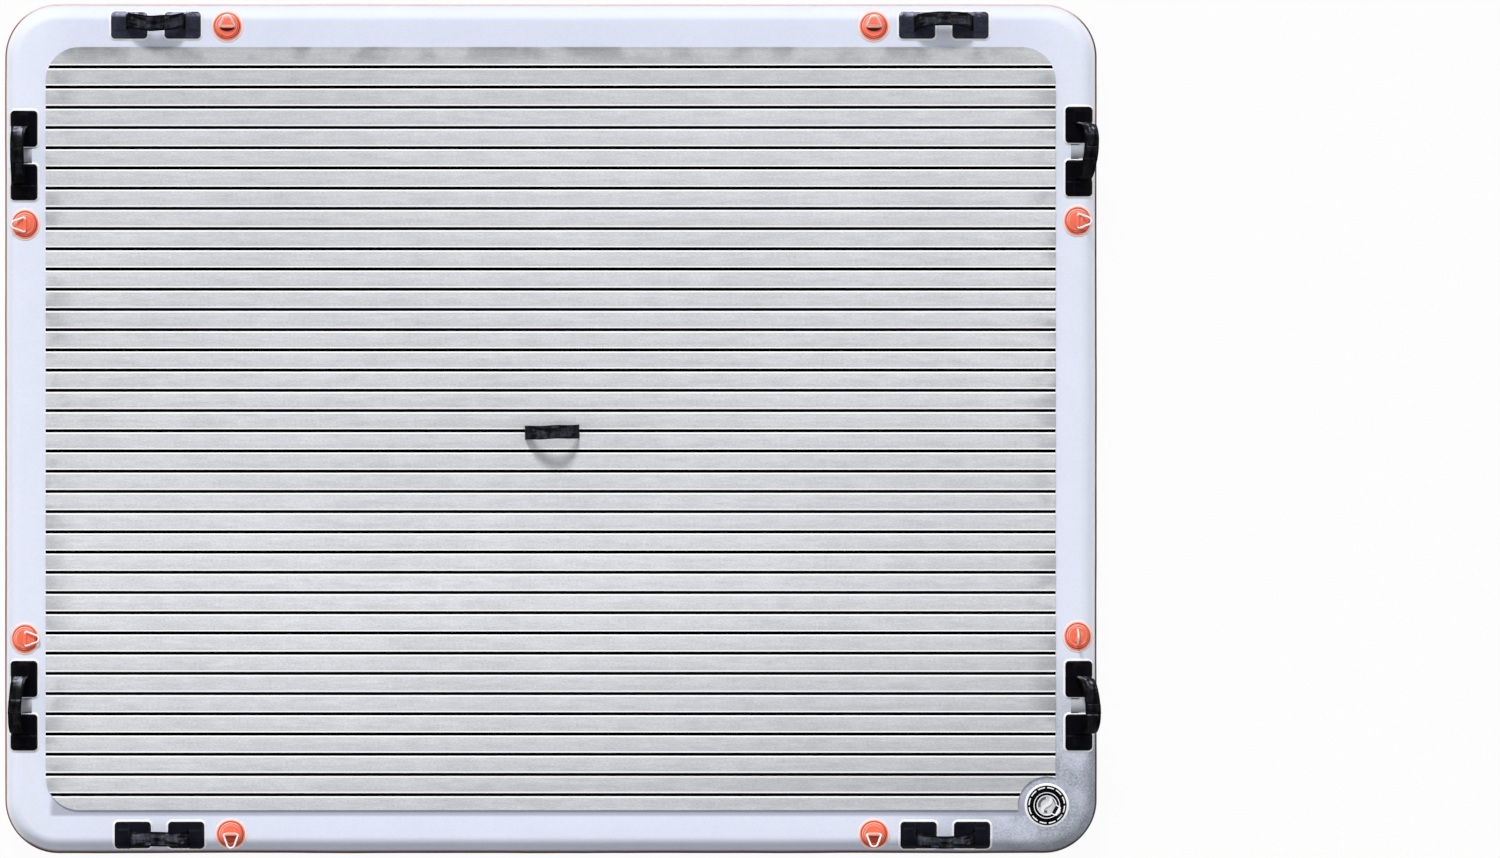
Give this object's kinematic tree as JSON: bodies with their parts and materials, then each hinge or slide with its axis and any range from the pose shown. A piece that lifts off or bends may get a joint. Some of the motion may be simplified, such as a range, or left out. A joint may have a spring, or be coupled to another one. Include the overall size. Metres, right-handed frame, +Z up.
{
  "type": "inflatable dock platform",
  "caption": "Rectangular inflatable floating dock: white air chamber with rounded sides, grooved grey deck pad, black webbing grab handles, orange D-ring patches and a corner valve.",
  "frame": {"origin": "middle of the flat underside", "axes": "+X along the long side, +Y along the short side away from the valve, +Z up"},
  "size_m": [2.752, 2.134, 0.2283],
  "materials": {
    "skin": "satin",
    "seam_tape": "satin",
    "rail_band": "satin",
    "core": "woven",
    "deck_foam": "brushed foam",
    "handle_patch": "satin",
    "webbing": "woven webbing",
    "ring_patch": "satin",
    "steel": "polished",
    "valve_black": "moulded",
    "valve_grey": "moulded"
  },
  "bodies": {
    "platform": {"top_skin": "skin", "bottom_skin": "skin", "seam_tape": "seam_tape", "rail_band": "rail_band", "drop_stitch_core": "core", "deck_pad": "deck_foam", "carry_strap": "webbing", "handle_back_left_patch_1": "handle_patch", "handle_back_left_patch_2": "handle_patch", "handle_back_left_webbing": "webbing", "handle_back_right_patch_1": "handle_patch", "handle_back_right_patch_2": "handle_patch", "handle_back_right_webbing": "webbing", "handle_front_left_patch_1": "handle_patch", "handle_front_left_patch_2": "handle_patch", "handle_front_left_webbing": "webbing", "handle_front_right_patch_1": "handle_patch", "handle_front_right_patch_2": "handle_patch", "handle_front_right_webbing": "webbing", "handle_left_back_patch_1": "handle_patch", "handle_left_back_patch_2": "handle_patch", "handle_left_back_webbing": "webbing", "handle_left_front_patch_1": "handle_patch", "handle_left_front_patch_2": "handle_patch", "handle_left_front_webbing": "webbing", "handle_right_back_patch_1": "handle_patch", "handle_right_back_patch_2": "handle_patch", "handle_right_back_webbing": "webbing", "handle_right_front_patch_1": "handle_patch", "handle_right_front_patch_2": "handle_patch", "handle_right_front_webbing": "webbing", "dring_back_left_patch": "ring_patch", "dring_back_left_keeper": "ring_patch", "dring_back_right_patch": "ring_patch", "dring_back_right_keeper": "ring_patch", "dring_front_left_patch": "ring_patch", "dring_front_left_keeper": "ring_patch", "dring_front_right_patch": "ring_patch", "dring_front_right_keeper": "ring_patch", "dring_left_back_patch": "ring_patch", "dring_left_back_keeper": "ring_patch", "dring_left_front_patch": "ring_patch", "dring_left_front_keeper": "ring_patch", "dring_right_back_patch": "ring_patch", "dring_right_back_keeper": "ring_patch", "dring_right_front_patch": "ring_patch", "dring_right_front_keeper": "ring_patch", "valve_body": "valve_black", "valve_nut": "valve_black", "valve_spring": "steel"},
    "valve_cap": {"valve_cap": "valve_grey"},
    "valve_plunger": {"valve_plunger": "valve_grey"},
    "ring_back_left": {"dring_back_left_ring": "steel"},
    "ring_back_right": {"dring_back_right_ring": "steel"},
    "ring_front_left": {"dring_front_left_ring": "steel"},
    "ring_front_right": {"dring_front_right_ring": "steel"},
    "ring_left_back": {"dring_left_back_ring": "steel"},
    "ring_left_front": {"dring_left_front_ring": "steel"},
    "ring_right_back": {"dring_right_back_ring": "steel"},
    "ring_right_front": {"dring_right_front_ring": "steel"}
  },
  "joints": [
    {"name": "ring_back_left_swing", "type": "hinge", "parent": "platform", "child": "ring_back_left", "pos_m": [-0.811, 1.009, 0.16025], "axis": [1, 0, 0], "range_deg": [-43, 145]},
    {"name": "ring_back_right_swing", "type": "hinge", "parent": "platform", "child": "ring_back_right", "pos_m": [0.811, 1.009, 0.16025], "axis": [1, 0, 0], "range_deg": [-47, 141]},
    {"name": "ring_front_left_swing", "type": "hinge", "parent": "platform", "child": "ring_front_left", "pos_m": [-0.802, -1.017, 0.16025], "axis": [-1, 0, 0], "range_deg": [-17, 177]},
    {"name": "ring_front_right_swing", "type": "hinge", "parent": "platform", "child": "ring_front_right", "pos_m": [0.811, -1.017, 0.16025], "axis": [-1, 0, 0], "range_deg": [-39, 155]},
    {"name": "ring_left_back_swing", "type": "hinge", "parent": "platform", "child": "ring_left_back", "pos_m": [-1.318, 0.512, 0.16025], "axis": [0, 1, 0], "range_deg": [-11.5, 178]},
    {"name": "ring_left_front_swing", "type": "hinge", "parent": "platform", "child": "ring_left_front", "pos_m": [-1.318, -0.527, 0.16025], "axis": [0, 1, 0], "range_deg": [-180.5, 9]},
    {"name": "ring_right_back_swing", "type": "hinge", "parent": "platform", "child": "ring_right_back", "pos_m": [1.322, 0.521, 0.16025], "axis": [0, -1, 0], "range_deg": [-16, 179]},
    {"name": "ring_right_front_swing", "type": "hinge", "parent": "platform", "child": "ring_right_front", "pos_m": [1.322, -0.521, 0.16025], "axis": [0, -1, 0], "range_deg": [-100, 95]},
    {"name": "valve_cap_flip", "type": "hinge", "parent": "platform", "child": "valve_cap", "pos_m": [1.27726, -0.96242, 0.1589], "axis": [0.4695, 0.8829, 0], "range_deg": [0, 165]},
    {"name": "valve_plunger_press", "type": "slide", "parent": "platform", "child": "valve_plunger", "axis": [0, 0, -1], "range_m": [0, 0.003], "stiffness_N_per_m": 300, "springref_m": -0.002, "deforming": ["valve_spring"]}
  ]
}
